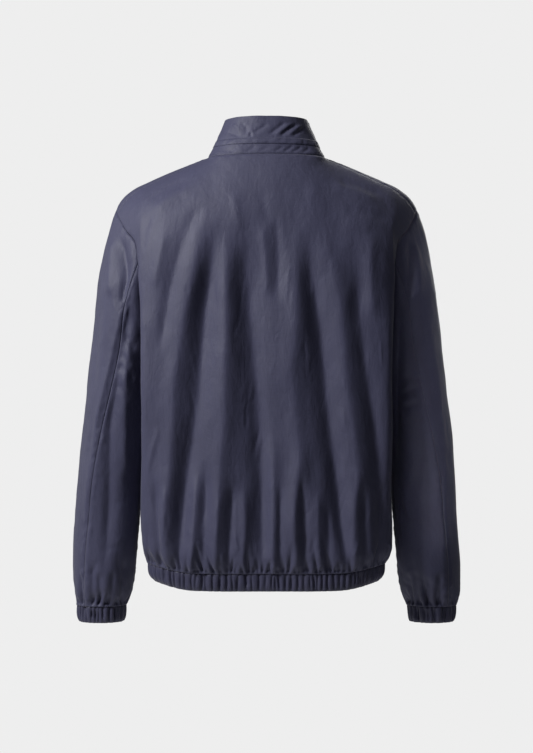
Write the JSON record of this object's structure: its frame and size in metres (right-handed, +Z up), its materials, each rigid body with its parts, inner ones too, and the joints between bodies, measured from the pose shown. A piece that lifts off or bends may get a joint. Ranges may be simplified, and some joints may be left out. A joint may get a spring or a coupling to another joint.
{
  "type": "windbreaker",
  "caption": "Zipped nylon windbreaker with a stand collar, two-piece sleeves and gathered elastic hem and cuffs, filled out as if worn.",
  "frame": {"origin": "middle of the neck opening at the height of the collar seam, where the wearer's neck holds the jacket", "axes": "+Z up along the wearer's back, -Y out of the jacket's front, +X to the wearer's left"},
  "size_m": [0.6196, 0.2507, 0.8027],
  "materials": {
    "shell_nylon": "satin woven nylon, slate navy",
    "zip_tape": "matt knitted tape with a moulded chain",
    "slider_metal": "dark enamelled die casting",
    "pull_metal": "dark enamelled die casting"
  },
  "bodies": {
    "jacket": {"back": "shell_nylon", "front_left": "shell_nylon", "front_right": "shell_nylon", "sleeve_top_left": "shell_nylon", "sleeve_top_right": "shell_nylon", "sleeve_under_left": "shell_nylon", "sleeve_under_right": "shell_nylon", "collar": "shell_nylon", "collar_welt": "shell_nylon", "hem_band": "shell_nylon", "cuff_left": "shell_nylon", "cuff_right": "shell_nylon", "zip_tape_left": "zip_tape", "zip_tape_right": "zip_tape", "zip_slider": "slider_metal"},
    "pull": {"zip_pull": "pull_metal"}
  },
  "joints": [
    {"name": "pull_swing", "type": "hinge", "parent": "jacket", "child": "pull", "pos_m": [0, -0.07699, -0.0107], "axis": [-1, 0, 0], "range_deg": [0, 150]}
  ]
}
